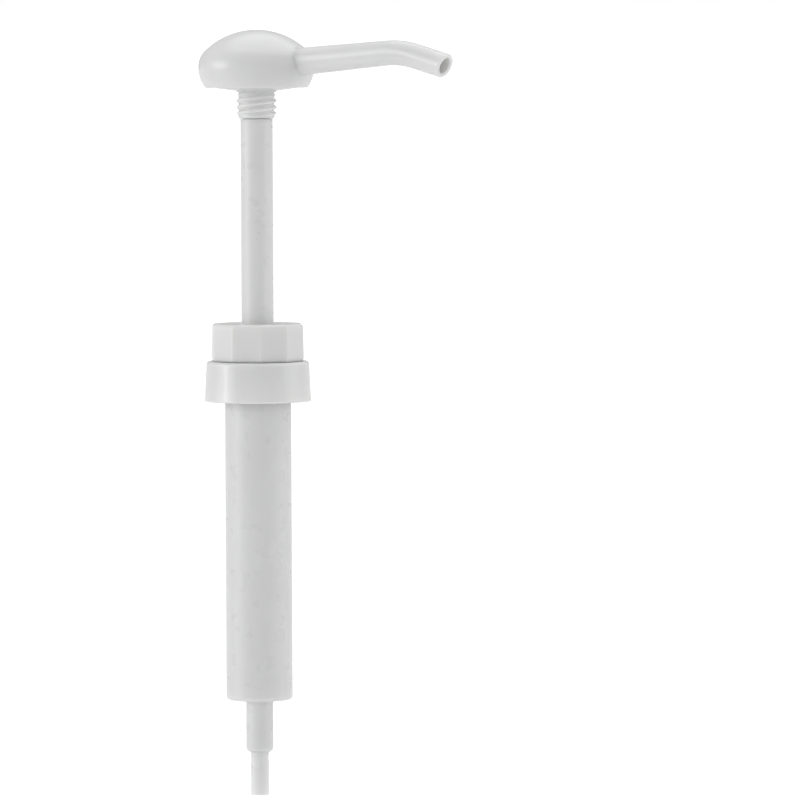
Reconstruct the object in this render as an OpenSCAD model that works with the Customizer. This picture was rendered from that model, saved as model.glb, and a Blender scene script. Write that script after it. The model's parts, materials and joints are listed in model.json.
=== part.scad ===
// Hand pump for condiments and syrups that screws on to the neck of a one-gallon jug.
// Units are millimetres. +Z is up. The origin is on the pump's axis, in the plane where
// the neck gasket lands on the jug's rim. +X points along the spout.

/* [Head] */
// Half length of the dome, along the spout
dome_half_l = 23.1; // [20:0.1:30]
// Half width of the dome, across the spout
dome_half_w = 23.1; // [18:0.1:28]
// Height of the dome above its widest line
dome_rise = 14.8; // [12:0.1:18]
// Height of the dome below its widest line
dome_skirt = 8.2; // [6:0.1:10]
// Wall of the dome
dome_wall = 2.2; // [1.5:0.1:3]
// Edge radius where the dome's crown turns into its side
dome_edge_r = 9.2; // [7:0.1:10]
// Fall of the head's underside from its rim to the shank
underside_drop = 1.2; // [0.5:0.1:3]
// Thickness of the head's underside plate
underside_t = 1.8; // [1.2:0.1:3]

/* [Spout] */
// Outside diameter of the spout past its bend
spout_d = 9.8; // [8:0.1:12]
// Wall of the spout past its bend
spout_wall = 1.7; // [1.2:0.05:2]
// Growth of the spout's diameter from the bend back to its root inside the dome
spout_taper = 1.5; // [0:0.1:2]
// Reach of the bend from the pump's axis
bend_x = 69.5; // [50:0.5:90]
// Centre-line radius of the bend
bend_r = 40; // [20:1:50]
// Rise of the spout before its bend, in degrees
spout_rise = 4.7; // [0:0.1:10]
// Fall of the spout past its bend, in degrees
spout_fall = 15.1; // [5:0.1:35]
// Length of the spout past the middle of its bend
tip_l = 21.5; // [15:0.5:40]
// Extra fall of the cut end of the spout, in degrees
tip_cut = 8; // [0:1:30]
// Height of the spout's centre line above the dome's widest line, on the axis
spout_up = 0.4; // [-2:0.1:2]

/* [Stem] */
// Outside diameter of the stem
stem_d = 12.8; // [10:0.1:16]
// Wall of the stem
stem_wall = 2.4; // [2:0.1:2.8]
// Step from the stem down to its pressed spigots
spigot_step = 1.2; // [0.8:0.1:1.4]

/* [Lock thread] */
// Step from the stem out to the root of the thread on the head's shank
shank_step = 0.7; // [0.5:0.1:1.5]
// Height of the thread's ridges
lock_ridge_h = 0.9; // [0.6:0.1:1.2]
// Axial distance between ridges
lock_pitch = 2.55; // [2.2:0.05:3]
// Number of thread starts
lock_starts = 2; // [1:1:4]
// Length of the threaded shank
shank_l = 11; // [9:0.5:14]
// Running clearance between the shank's thread and the collar's
lock_clear = 0.3; // [0.2:0.05:0.5]

/* [Stroke] */
// Full pumping stroke
stroke = 80; // [50:1:110]
// Extra travel when the head is screwed down into the collar
lock_travel = 10; // [6:0.5:12]
// Gap left between the shank and the collar at the bottom of the stroke
shank_approach = 1.8; // [1:0.1:4]

/* [Closure] */
// Major diameter of the neck thread cut in the closure
neck_major_d = 38; // [37.6:0.1:46]
// Height of the neck thread's ridge
neck_ridge_h = 1.1; // [0.8:0.1:1.3]
// Pitch of the neck thread
neck_pitch = 4.233; // [3:0.001:5]
// Turns of the neck thread
neck_turns = 1.6; // [1:0.1:2]
// Wall of the closure's skirt at its open end
skirt_wall = 2.2; // [1.8:0.1:3]
// Taper of the skirt, from its open end to its top
skirt_taper = 0.8; // [0:0.1:1]
// Height of the closure
closure_h = 16; // [14:0.5:20]
// Thickness of the closure's top panel
closure_top_t = 2.2; // [1.6:0.1:3]
// Thickness of the neck gasket
gasket_t = 1.4; // [0.8:0.1:2]

/* [Lock collar] */
// Wall of the collar at its corners, outside the barrel's spigot
collar_wall = 4.7; // [4:0.1:6]
// Height of the collar
collar_h = 14.8; // [13:0.1:20]
// Number of flats
collar_flats = 10; // [6:1:12]
// Angle of the first corner, in degrees
collar_phase = -16; // [-30:1:30]
// Taper of the flats, in degrees
collar_draft = 1; // [0:0.1:2]

/* [Barrel] */
// Bore of the pump chamber
bore_d = 22; // [20:0.1:24]
// Wall of the barrel
barrel_wall = 2.2; // [1.8:0.1:2.6]
// Thickness of the barrel's bottom
floor_t = 4.4; // [4:0.1:6]
// Thickness of the flange that holds the gasket
flange_t = 2; // [1.6:0.1:3]
// Length of the inlet neck
inlet_l = 21; // [18:0.5:30]
// Wall of the inlet neck round the dip tube
inlet_wall = 1.85; // [1.5:0.05:3]
// Height left over the packed spring when the head is locked down
barrel_spare = 0.7; // [0.5:0.1:50]

/* [Dip tube] */
// Outside diameter of the dip tube
tube_d = 7.1; // [6:0.1:8.6]
// Wall of the dip tube
tube_wall = 1.05; // [0.8:0.05:1.3]
// Length of dip tube below the inlet neck
tube_show = 17.3; // [10:0.1:160]

/* [Valves] */
// Lift of the inlet ball
inlet_lift = 3; // [2:0.1:4]
// Lift of the outlet ball
outlet_lift = 2.5; // [1.5:0.1:4]

/* [Return spring] */
// Diameter of the spring's wire
wire_d = 1.2; // [0.8:0.1:1.4]
// Number of open coils
open_coils = 9; // [6:1:12]

/* [Clearances] */
// Radial clearance of a shaft in its guide
slide_clear = 0.08; // [0.03:0.01:0.1]
// Radial clearance of a piece that is dropped or clipped in place
loose_clear = 0.3; // [0.2:0.05:0.4]
// Radial clearance of a piece that is pressed in
press_clear = 0.02; // [0.01:0.01:0.05]
// Clearance of a seal's lip to the wall that it wipes
lip_clear = 0.05; // [0.02:0.01:0.1]
// Gap between faces that turn or slide on each other
face_gap = 0.2; // [0.1:0.05:0.3]

/* [Hidden] */

// Overlap that joins two solids, overrun of a cut past a face, and sides of a round shape
eps = 0.01;
cut = 1;
$fn = 96;

// Diameters of the stem and of what fits to it
stem_bore = stem_d - 2 * stem_wall;
spigot_d = stem_d - 2 * spigot_step;
lock_root_d = stem_d + 2 * shank_step;
lock_crest_d = lock_root_d + 2 * lock_ridge_h;
lock_bore_d = lock_crest_d + 2 * lock_clear;
lock_inner_crest_d = lock_root_d + 2 * lock_clear;
lock_lead = lock_pitch * lock_starts;

// Diameters of the barrel and of what fits to it
barrel_d = bore_d + 2 * barrel_wall;
gasket_seat_d = barrel_d + 1;
gasket_seat_drop = 0.6;
collar_spigot_d = bore_d + 6.6;
collar_corner_d = collar_spigot_d + 2 * collar_wall;
bead_h = 0.4;
bead_w = 1.2;
bead_up = 1.4;

// Diameters of the closure and of what it holds
closure_open_d = neck_major_d + 2 * skirt_wall;
closure_top_d = closure_open_d - 2 * skirt_taper;
closure_edge_r = 1.2;
neck_crest_d = neck_major_d - 2 * neck_ridge_h;
neck_thread_in = 2;
flange_d = neck_crest_d - 2.4;
gasket_d = flange_d + 0.6;

// Stack of faces above the jug's rim
flange_z = gasket_t;
panel_z = flange_z + flange_t + face_gap;
closure_top_z = panel_z + closure_top_t;
closure_open_z = closure_top_z - closure_h;
collar_z = closure_top_z + face_gap;
collar_top_z = collar_z + collar_h;
collar_chamfer = 1;
collar_spigot_l = 4;
collar_spigot_z = collar_z + collar_spigot_l;
bore_chamfer = 0.8;
thread_inset = 1.6;

// Stem guide, clamped between the barrel's spigot and the collar
guide_lip_t = 1.2;
guide_lip_z = collar_spigot_z + guide_lip_t;
guide_lip_in = 0.5;
guide_foot_z = -4;
wiper_h = 3;
wiper_d = lock_bore_d + 0.8;
wiper_z = guide_lip_z - wiper_h;
wiper_lip_t = 1;
wiper_flare = 3;

// Head, from the foot of its shank to its crown
shank_z = collar_top_z + stroke + shank_approach;
plate_foot_z = shank_z + shank_l;
rim_z = plate_foot_z + underside_drop;
widest_z = rim_z + dome_skirt;
crown_z = widest_z + dome_rise;
shank_root_up = 2;
shoulder_l = 2;
shoulder_down = 0.6;
thread_end_gap = 0.6;
thread_top_gap = 0.4;
ridge_base = 1.5;
ridge_tip = 0.7;
ridge_steps = 24;
ridge_root = 0.4;
fade_steps = 2;
fade_start = 0.15;

// Dome profile: crown arc, edge arc and skirt arc, tangent to each other
edge_x = dome_half_l - dome_edge_r;
crown_r = (edge_x * edge_x + dome_rise * dome_rise - dome_edge_r * dome_edge_r)
          / (2 * (dome_rise - dome_edge_r));
crown_c = dome_rise - crown_r;
crown_angle = atan2(edge_x, -crown_c);
skirt_r = 13.4;
skirt_in_r = skirt_r - dome_wall;
plate_half_l = dome_half_l - skirt_r + sqrt(skirt_in_r * skirt_in_r - dome_skirt * dome_skirt);
plate_clear = 0.1;
dome_sides = 48;
dome_inner_sides = 32;

// Spout route
spout_bore = spout_d - 2 * spout_wall;
spout_root_d = spout_d + spout_taper;
spout_z = widest_z + spout_up;
bend_z = spout_z + bend_x * tan(spout_rise);
bend_turn = spout_rise + spout_fall;
bend_back = bend_r * tan(bend_turn / 2);
spout_start = 9.4;
straight_l = bend_x / cos(spout_rise) - bend_back;
tip_straight_l = tip_l - bend_back;
joint_lap = 0.3;
joint_swell = 0.02;
tip_over = 6;

// Passage inside the head, cored from behind and plugged
passage_back = -9;
passage_wall = 2.35;
passage_boss_d = spout_bore + 2 * passage_wall;
plug_l = 5;
spigot_seat_l = 15;

// Piston stack, from the guide down
piston_top_z = guide_foot_z - loose_clear;
seal_w = 3.2;
hub_d = bore_d - 2 * seal_w;
hub_flange_t = 1.6;
hub_side_gap = 0.5;
hub_flange_d = bore_d - 2 * hub_side_gap;
hub_top_in = 1.5;
seal_h = 8.8;
seal_clear = 0.1;
seal_waist = 2;
lip_t = 0.9;
lip_land = 0.6;
lip_heel = 0.8;
lip_flare = 1;
piston_l = 2 * hub_flange_t + seal_h + 2 * seal_clear + face_gap;
piston_foot_z = piston_top_z - piston_l;
seat_t = 1.2;
seat_in = 0.5;
seat_hub_l = 3;
seat_hub_wall = 1;
seat_foot_z = piston_foot_z - face_gap - seat_t;

// Return spring, between the piston's seat ring and the inlet cage
end_coils = 1;
coils = open_coils + 2 * end_coils;
coil_side_gap = 1.6;
coil_d = bore_d - 2 * coil_side_gap - wire_d;
wire_sides = 8;
wire_steps = 20;
end_rise = wire_d * 1.06;
spring_h = stroke + lock_travel + (coils + 1) * wire_d + barrel_spare;
spring_foot_z = seat_foot_z - spring_h;

// Floor of the chamber and its inlet valve
cage_flange_t = 2;
cage_side_gap = 1.34;
cage_wall = 1.8;
cage_d = coil_d - wire_d - 2 * cage_side_gap;
cage_bore = cage_d - 2 * cage_wall;
cage_windows = 3;
cage_window_w = 6;
cage_window_up = 1.5;
cage_window_top = 1;
floor_z = spring_foot_z - cage_flange_t;
barrel_depth = floor_t - floor_z;
barrel_edge_r = 1.6;
vent_d = 1.8;
vent_z = -12;

// Dip tube in the inlet neck
tube_bore = tube_d - 2 * tube_wall;
tube_grip = 16;
tube_stop = 0.75;
inlet_d = tube_d + 2 * inlet_wall;
inlet_edge = 1.2;
inlet_root = 1.4;
inlet_foot_z = -barrel_depth - inlet_l;
tube_top_z = inlet_foot_z + tube_grip;
tube_end_z = inlet_foot_z - tube_show;

// Inlet ball on its 45 degree seat
seat_gap = 0.1;
inlet_ball_d = cage_bore - 2 * loose_clear;
inlet_seat_low_d = tube_d - 2 * tube_stop;
inlet_seat_h = 3.2;
inlet_seat_top_d = inlet_seat_low_d + 2 * inlet_seat_h;
inlet_ball_z = floor_z - inlet_seat_top_d / 2 + (inlet_ball_d / 2 + seat_gap) * sqrt(2);
cage_in_z = inlet_ball_z + inlet_ball_d / 2 + inlet_lift + face_gap;
cage_top_z = cage_in_z + cage_wall;
cage_outlet_in = 1.5;

// Outlet ball on its 45 degree seat, in the foot of the stem
outlet_side_gap = 0.825;
outlet_land = 1.075;
outlet_ball_d = stem_bore - 2 * outlet_side_gap;
outlet_seat_l = 7;
outlet_seat_low_d = outlet_ball_d - 2 * outlet_land;
outlet_seat_h = 1.6;
outlet_seat_top_d = outlet_seat_low_d + 2 * outlet_seat_h;
outlet_seat_z = piston_foot_z + outlet_seat_l;
outlet_ball_z = outlet_seat_z - outlet_seat_top_d / 2 + (outlet_ball_d / 2 + seat_gap) * sqrt(2);
outlet_stop_z = outlet_ball_z + outlet_ball_d / 2 + outlet_lift + face_gap;
outlet_stop_d = stem_bore - 2 * press_clear;
outlet_stop_h = 3;
stop_wall = 0.8;
stop_bar = 1.6;

// A tube on the Z axis from z to z + h
module tube(outer_d, inner_d, z, h) {
    translate([0, 0, z])
        difference() {
            cylinder(d = outer_d, h = h);
            translate([0, 0, -eps])
                cylinder(d = inner_d, h = h + 2 * eps);
        }
}

// Cross-section corners of a ridge at one step, ends faded so that it runs out smoothly
function ridge_fade(i, n) =
    min(1, (i + fade_start) / fade_steps, (n - i + fade_start) / fade_steps);

function ridge_ring(i, n, buried_r, root_r, crest_r, lead, turns) =
    let (a = 360 * turns * i / n,
         z = lead * turns * i / n,
         r = root_r + (crest_r - root_r) * ridge_fade(i, n))
    [[buried_r * cos(a), buried_r * sin(a), z - ridge_base / 2],
     [r * cos(a), r * sin(a), z - ridge_tip / 2],
     [r * cos(a), r * sin(a), z + ridge_tip / 2],
     [buried_r * cos(a), buried_r * sin(a), z + ridge_base / 2]];

// One start of a helical ridge. It stands on root_r and reaches crest_r, outwards or inwards
module ridge(root_r, crest_r, lead, turns, steps) {
    n = ceil(turns * steps);
    inward = crest_r < root_r;
    buried_r = root_r + (inward ? ridge_root : -ridge_root);
    points = [for (i = [0 : n]) each ridge_ring(i, n, buried_r, root_r, crest_r, lead, turns)];
    sides = [for (i = [0 : n - 1], k = [0 : 3])
        let (a = 4 * i + k, b = 4 * i + (k + 1) % 4)
        each [[a, b, b + 4], [a, b + 4, a + 4]]];
    ends = [[0, 2, 1], [0, 3, 2], [4 * n, 4 * n + 1, 4 * n + 2], [4 * n, 4 * n + 2, 4 * n + 3]];
    faces = concat(sides, ends);
    polyhedron(points = points, faces = inward ? [for (f = faces) [f[0], f[2], f[1]]] : faces);
}

// Half outline of the dome, moved in by inset, with its widest line at z = 0
module dome_outline(inset, below) {
    skirt_x = dome_half_l - skirt_r;
    intersection() {
        translate([0, crown_c])
            circle(r = crown_r - inset);
        polygon([[0, 0], [edge_x, 0],
                 [edge_x + crown_r * sin(crown_angle), crown_r * cos(crown_angle)],
                 [0, crown_r]]);
    }
    intersection() {
        translate([edge_x, 0])
            circle(r = dome_edge_r - inset);
        translate([edge_x, 0])
            square(dome_edge_r + cut);
    }
    intersection() {
        translate([skirt_x, 0])
            circle(r = skirt_r - inset);
        translate([skirt_x, -below])
            square([skirt_r + cut, below]);
    }
    translate([0, -below])
        square([skirt_x, below]);
}

// The dome, or its inside when inset by the wall. It is an oval where its half length and width differ
module dome_solid(inset, below, sides) {
    $fn = sides;
    translate([0, 0, widest_z])
        hull()
            scale([1, (dome_half_w - inset) / (dome_half_l - inset), 1])
                rotate_extrude()
                    dome_outline(inset, below);
}

// Straight part of the spout or its bore, from start along the rise
module spout_straight(d1, d2, start) {
    translate([0, 0, spout_z])
        rotate([0, 90 - spout_rise, 0])
            translate([0, 0, start])
                cylinder(d1 = d1, d2 = d2, h = straight_l + joint_lap - start);
}

// Bend of the spout or its bore, a hair fatter than the straights that lap into it
module spout_bend(d) {
    translate([straight_l * cos(spout_rise), 0, spout_z + straight_l * sin(spout_rise)])
        rotate([0, -spout_rise, 0])
            translate([0, 0, -bend_r])
                rotate([90, 0, 0])
                    rotate([0, 0, 90 - bend_turn])
                        rotate_extrude(angle = bend_turn)
                            translate([bend_r, 0])
                                circle(d = d + joint_swell);
}

// Moves its children to the middle of the bend, with X along the falling tip
module at_tip() {
    translate([bend_x, 0, bend_z])
        rotate([0, spout_fall, 0])
            children();
}

module spout_tip(d, extra) {
    at_tip()
        translate([bend_back - joint_lap, 0, 0])
            rotate([0, 90, 0])
                cylinder(d = d, h = tip_straight_l + joint_lap + extra);
}

// Everything past the slanted cut at the end of the spout
module tip_waste() {
    at_tip()
        translate([tip_l, 0, 0])
            rotate([0, tip_cut, 0])
                translate([0, -spout_d, -2 * spout_d])
                    cube([2 * spout_d, 2 * spout_d, 4 * spout_d]);
}

module lock_ridges(root_d, crest_d, z, length) {
    turns = length / lock_lead;
    for (k = [0 : lock_starts - 1])
        translate([0, 0, z])
            rotate([0, 0, 360 * k / lock_starts])
                ridge(root_d / 2, crest_d / 2, lock_lead, turns, ridge_steps);
}

module head_shell() {
    difference() {
        dome_solid(0, dome_skirt, dome_sides);
        dome_solid(dome_wall, dome_skirt + cut, dome_inner_sides);
    }
}

// Boss over the stem and the cored passage, trimmed to the inside of the dome
module head_core() {
    intersection() {
        union() {
            translate([0, 0, plate_foot_z])
                cylinder(d = lock_root_d, h = crown_z - plate_foot_z);
            spout_straight(passage_boss_d, passage_boss_d, passage_back);
            translate([-dome_half_l, -dome_wall / 2, spout_z])
                cube([2 * dome_half_l, dome_wall, dome_rise]);
        }
        dome_solid(dome_wall / 2, dome_skirt - eps, dome_inner_sides);
    }
}

module shank() {
    translate([0, 0, shank_z])
        cylinder(d = lock_root_d, h = shank_l + shank_root_up);
    translate([0, 0, plate_foot_z - shoulder_down])
        cylinder(d = lock_crest_d, h = shoulder_l);
    lock_ridges(lock_root_d, lock_crest_d, shank_z + thread_end_gap + ridge_base / 2,
                shank_l - shoulder_down - thread_top_gap - thread_end_gap - ridge_base);
}

module actuator_head() {
    color("white")
        difference() {
            union() {
                head_shell();
                head_core();
                shank();
                spout_straight(spout_root_d, spout_d, spout_start);
                spout_bend(spout_d);
                spout_tip(spout_d, tip_over);
            }
            spout_straight(spout_bore, spout_bore, passage_back - cut);
            spout_bend(spout_bore);
            spout_tip(spout_bore, tip_over + cut);
            tip_waste();
            translate([0, 0, shank_z - cut])
                cylinder(d = spigot_d + 2 * press_clear, h = spigot_seat_l + cut + face_gap);
            translate([0, 0, shank_z])
                cylinder(d = stem_bore, h = spout_z - shank_z);
        }
}

// Shallow cone that closes the head from below, clipped inside its rim
module head_base_plate() {
    plate_l = plate_half_l - plate_clear;
    plate_w = plate_half_l * (dome_half_w - dome_wall) / (dome_half_l - dome_wall) - plate_clear;
    hole_r = lock_crest_d / 2 + loose_clear;
    color("whitesmoke")
        difference() {
            hull()
                scale([1, plate_w / plate_l, 1])
                    rotate_extrude($fn = dome_sides)
                        polygon([[0, plate_foot_z], [hole_r, plate_foot_z], [plate_l, rim_z],
                                 [plate_l, rim_z + underside_t], [0, rim_z + underside_t]]);
            translate([0, 0, plate_foot_z - cut])
                cylinder(r = hole_r, h = underside_drop + underside_t + 2 * cut);
        }
}

module passage_plug() {
    color("whitesmoke")
        translate([0, 0, spout_z])
            rotate([0, 90 - spout_rise, 0])
                translate([0, 0, passage_back])
                    cylinder(d = spout_bore - 2 * press_clear, h = plug_l);
}

module stem() {
    color("white") {
        tube(stem_d, stem_bore, piston_top_z, shank_z - face_gap - piston_top_z);
        tube(spigot_d, stem_bore, shank_z - face_gap - eps, spigot_seat_l + face_gap);
        tube(spigot_d, stem_bore, piston_foot_z, piston_top_z - piston_foot_z + eps);
    }
}

// Tapered prism of the collar, with a chamfer round its top
module collar_body() {
    shoulder_h = collar_h - collar_chamfer;
    shoulder_d = collar_corner_d - 2 * shoulder_h * tan(collar_draft);
    rotate([0, 0, collar_phase]) {
        cylinder(d1 = collar_corner_d, d2 = shoulder_d, h = shoulder_h, $fn = collar_flats);
        translate([0, 0, shoulder_h])
            cylinder(d1 = shoulder_d, d2 = shoulder_d - 2 * collar_chamfer, h = collar_chamfer,
                     $fn = collar_flats);
    }
}

module lock_collar() {
    socket_d = collar_spigot_d + 2 * slide_clear;
    color("white") {
        translate([0, 0, collar_z])
            difference() {
                collar_body();
                translate([0, 0, -cut])
                    cylinder(d = socket_d, h = collar_spigot_l + guide_lip_t + cut);
                translate([0, 0, bead_up - slide_clear])
                    cylinder(d = socket_d + 2 * bead_h, h = bead_w + 2 * slide_clear);
                translate([0, 0, -cut])
                    cylinder(d = lock_bore_d, h = collar_h + 2 * cut);
                translate([0, 0, collar_h - bore_chamfer])
                    cylinder(d1 = lock_bore_d, d2 = lock_bore_d + 2 * bore_chamfer,
                             h = bore_chamfer + eps);
            }
        lock_ridges(lock_bore_d, lock_inner_crest_d, guide_lip_z + thread_inset,
                    collar_top_z - guide_lip_z - 2 * thread_inset);
    }
}

module closure_cap() {
    hole_d = collar_spigot_d + 2 * loose_clear;
    edge_x0 = closure_top_d / 2 - closure_edge_r;
    edge_z0 = closure_top_z - closure_edge_r;
    color("white")
        difference() {
            rotate_extrude()
                union() {
                    polygon([[0, closure_open_z], [closure_open_d / 2, closure_open_z],
                             [closure_top_d / 2, edge_z0], [0, edge_z0]]);
                    square([edge_x0, closure_top_z]);
                    translate([edge_x0, edge_z0])
                        circle(r = closure_edge_r);
                }
            translate([0, 0, closure_open_z - cut])
                cylinder(d = neck_major_d, h = panel_z - closure_open_z + cut);
            cylinder(d = hole_d, h = closure_top_z + cut);
        }
    color("white")
        translate([0, 0, closure_open_z + neck_thread_in])
            ridge(neck_major_d / 2, neck_crest_d / 2, neck_pitch, neck_turns, 2 * ridge_steps);
}

module neck_gasket() {
    color("gainsboro")
        tube(gasket_d, gasket_seat_d + 2 * loose_clear, 0, gasket_t);
}

module barrel() {
    color("white")
        difference() {
            union() {
                translate([0, 0, -barrel_depth + barrel_edge_r])
                    cylinder(d = barrel_d, h = barrel_depth + flange_z);
                rotate_extrude()
                    union() {
                        translate([0, -barrel_depth])
                            square([barrel_d / 2 - barrel_edge_r, barrel_edge_r + cut]);
                        translate([barrel_d / 2 - barrel_edge_r, -barrel_depth + barrel_edge_r])
                            circle(r = barrel_edge_r);
                    }
                translate([0, 0, -gasket_seat_drop])
                    cylinder(d = gasket_seat_d, h = gasket_seat_drop + flange_z + eps);
                translate([0, 0, flange_z])
                    cylinder(d = flange_d, h = flange_t);
                translate([0, 0, flange_z])
                    cylinder(d = collar_spigot_d, h = collar_spigot_z - flange_z);
                translate([0, 0, collar_z + bead_up])
                    cylinder(d = collar_spigot_d + 2 * bead_h, h = bead_w);
                translate([0, 0, inlet_foot_z + inlet_edge])
                    cylinder(d = inlet_d, h = inlet_l);
                translate([0, 0, inlet_foot_z])
                    cylinder(d1 = inlet_d - 2 * inlet_edge, d2 = inlet_d, h = inlet_edge);
                translate([0, 0, -barrel_depth - inlet_root])
                    cylinder(d1 = inlet_d, d2 = inlet_d + 2 * inlet_root, h = inlet_root + eps);
            }
            translate([0, 0, floor_z])
                cylinder(d = bore_d, h = collar_spigot_z - floor_z + cut);
            translate([0, 0, floor_z - inlet_seat_h])
                cylinder(d1 = inlet_seat_low_d, d2 = inlet_seat_top_d, h = inlet_seat_h + eps);
            translate([0, 0, inlet_foot_z - cut])
                cylinder(d = inlet_seat_low_d, h = floor_z - inlet_foot_z);
            translate([0, 0, inlet_foot_z - cut])
                cylinder(d = tube_d + 2 * press_clear, h = tube_grip + cut + face_gap);
            translate([0, bore_d / 2 - cut, vent_z])
                rotate([-90, 0, 0])
                    cylinder(d = vent_d, h = barrel_wall + 2 * cut);
        }
}

module dip_tube() {
    color("white")
        tube(tube_d, tube_bore, tube_end_z, tube_top_z - tube_end_z);
}

module stem_guide() {
    color("gainsboro")
        difference() {
            union() {
                translate([0, 0, guide_foot_z])
                    cylinder(d = bore_d - 2 * slide_clear, h = guide_lip_z - guide_foot_z);
                translate([0, 0, collar_spigot_z])
                    cylinder(d = collar_spigot_d - 2 * guide_lip_in, h = guide_lip_t);
            }
            translate([0, 0, guide_foot_z - cut])
                cylinder(d = stem_d + 2 * slide_clear, h = guide_lip_z - guide_foot_z + 2 * cut);
            translate([0, 0, wiper_z])
                cylinder(d = wiper_d + 2 * slide_clear, h = wiper_h + cut);
        }
}

module stem_wiper() {
    color("lightgray")
        difference() {
            translate([0, 0, wiper_z])
                cylinder(d = wiper_d, h = wiper_h - face_gap);
            translate([0, 0, wiper_z - cut])
                cylinder(d = stem_d + 2 * lip_clear, h = wiper_h + 2 * cut);
            translate([0, 0, wiper_z - eps])
                cylinder(d1 = stem_d + wiper_flare, d2 = stem_d, h = wiper_h - wiper_lip_t);
        }
}

module piston_hub() {
    color("gainsboro")
        difference() {
            union() {
                translate([0, 0, piston_foot_z])
                    cylinder(d = hub_d, h = piston_l - face_gap);
                translate([0, 0, piston_foot_z])
                    cylinder(d = hub_flange_d, h = hub_flange_t);
                translate([0, 0, piston_top_z - face_gap - hub_flange_t])
                    cylinder(d = hub_flange_d - 2 * hub_top_in, h = hub_flange_t);
            }
            translate([0, 0, piston_foot_z - cut])
                cylinder(d = spigot_d + 2 * press_clear, h = piston_l + 2 * cut);
        }
}

// Half section of the seal's body with a lip that flares up and one that flares down
module piston_seal() {
    low_z = piston_foot_z + hub_flange_t + seal_clear;
    high_z = low_z + seal_h;
    lip_r = bore_d / 2 - lip_clear;
    inner_r = hub_d / 2 + seal_clear;
    web_r = lip_r - lip_flare;
    heel = seal_waist + lip_heel;
    color("lightgray")
        rotate_extrude()
            polygon([[inner_r, low_z + seal_waist], [web_r - lip_t, low_z + seal_waist],
                     [lip_r - lip_t, low_z], [lip_r, low_z], [lip_r, low_z + lip_land],
                     [web_r, low_z + heel], [web_r, high_z - heel], [lip_r, high_z - lip_land],
                     [lip_r, high_z], [lip_r - lip_t, high_z], [web_r - lip_t, high_z - seal_waist],
                     [inner_r, high_z - seal_waist]]);
}

module spring_seat() {
    hub_out_d = coil_d - wire_d - 2 * loose_clear;
    color("gainsboro") {
        tube(hub_flange_d, spigot_d + 2 * seat_in, seat_foot_z, seat_t);
        tube(hub_out_d, hub_out_d - 2 * seat_hub_wall, seat_foot_z - seat_hub_l, seat_hub_l + eps);
    }
}

// Height of the wire's centre after t coils: close at both ends, open between
function coil_z(t) =
    t < end_coils ? end_rise * t :
    t > end_coils + open_coils ?
        spring_h - wire_d - end_rise * (coils - t) :
    end_rise * end_coils
        + (spring_h - wire_d - 2 * end_rise * end_coils) * (t - end_coils) / open_coils;

function wire_ring(t, r) =
    [for (k = [0 : wire_sides - 1])
        let (a = 360 * t, w = 360 * k / wire_sides, d = coil_d / 2 + r * cos(w))
        [d * cos(a), d * sin(a), coil_z(t) + r * sin(w)]];

module return_spring() {
    n = coils * wire_steps;
    m = wire_sides;
    points = [for (i = [0 : n]) each wire_ring(coils * i / n, wire_d / 2)];
    sides = [for (i = [0 : n - 1], k = [0 : m - 1])
        let (a = m * i + k, b = m * i + (k + 1) % m)
        each [[a, b, b + m], [a, b + m, a + m]]];
    ends = [for (k = [1 : m - 2]) each [[0, k + 1, k], [m * n, m * n + k, m * n + k + 1]]];
    color("silver")
        translate([0, 0, spring_foot_z + wire_d / 2])
            polyhedron(points = points, faces = concat(sides, ends));
}

module outlet_seat() {
    color("gainsboro")
        difference() {
            translate([0, 0, piston_foot_z])
                cylinder(d = stem_bore - 2 * press_clear, h = outlet_seat_l);
            translate([0, 0, piston_foot_z - cut])
                cylinder(d = outlet_seat_low_d, h = outlet_seat_l + 2 * cut);
            translate([0, 0, outlet_seat_z - outlet_seat_h])
                cylinder(d1 = outlet_seat_low_d, d2 = outlet_seat_top_d, h = outlet_seat_h + eps);
        }
}

module outlet_ball() {
    color("silver")
        translate([0, 0, outlet_ball_z])
            sphere(d = outlet_ball_d);
}

// Ring with two crossed bars that stop the outlet ball
module outlet_stop() {
    color("gainsboro") {
        tube(outlet_stop_d, outlet_stop_d - 2 * stop_wall, outlet_stop_z, outlet_stop_h);
        intersection() {
            translate([0, 0, outlet_stop_z])
                cylinder(d = outlet_stop_d, h = stop_bar);
            union() {
                translate([-outlet_stop_d, -stop_bar / 2, outlet_stop_z])
                    cube([2 * outlet_stop_d, stop_bar, stop_bar]);
                translate([-stop_bar / 2, -outlet_stop_d, outlet_stop_z])
                    cube([stop_bar, 2 * outlet_stop_d, stop_bar]);
            }
        }
    }
}

module inlet_cage() {
    window_z = floor_z + cage_flange_t + cage_window_up;
    window_h = cage_in_z - window_z - cage_window_top;
    color("gainsboro")
        difference() {
            union() {
                translate([0, 0, floor_z + face_gap / 2])
                    cylinder(d = bore_d - 2 * slide_clear, h = cage_flange_t - face_gap);
                translate([0, 0, floor_z + face_gap / 2])
                    cylinder(d = cage_d, h = cage_top_z - floor_z);
            }
            translate([0, 0, floor_z - cut])
                cylinder(d = cage_bore, h = cage_in_z - floor_z + cut);
            translate([0, 0, cage_in_z - cut])
                cylinder(d = inlet_ball_d - 2 * cage_outlet_in, h = cage_wall + 2 * cut);
            for (k = [0 : cage_windows - 1])
                rotate([0, 0, 360 * k / cage_windows])
                    translate([0, -cage_window_w / 2, window_z])
                        cube([cage_d, cage_window_w, window_h]);
        }
}

module inlet_ball() {
    color("silver")
        translate([0, 0, inlet_ball_z])
            sphere(d = inlet_ball_d);
}

actuator_head();
head_base_plate();
passage_plug();
stem();
lock_collar();
closure_cap();
neck_gasket();
barrel();
dip_tube();
stem_guide();
stem_wiper();
piston_hub();
piston_seal();
spring_seat();
return_spring();
outlet_seat();
outlet_ball();
outlet_stop();
inlet_cage();
inlet_ball();
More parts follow.
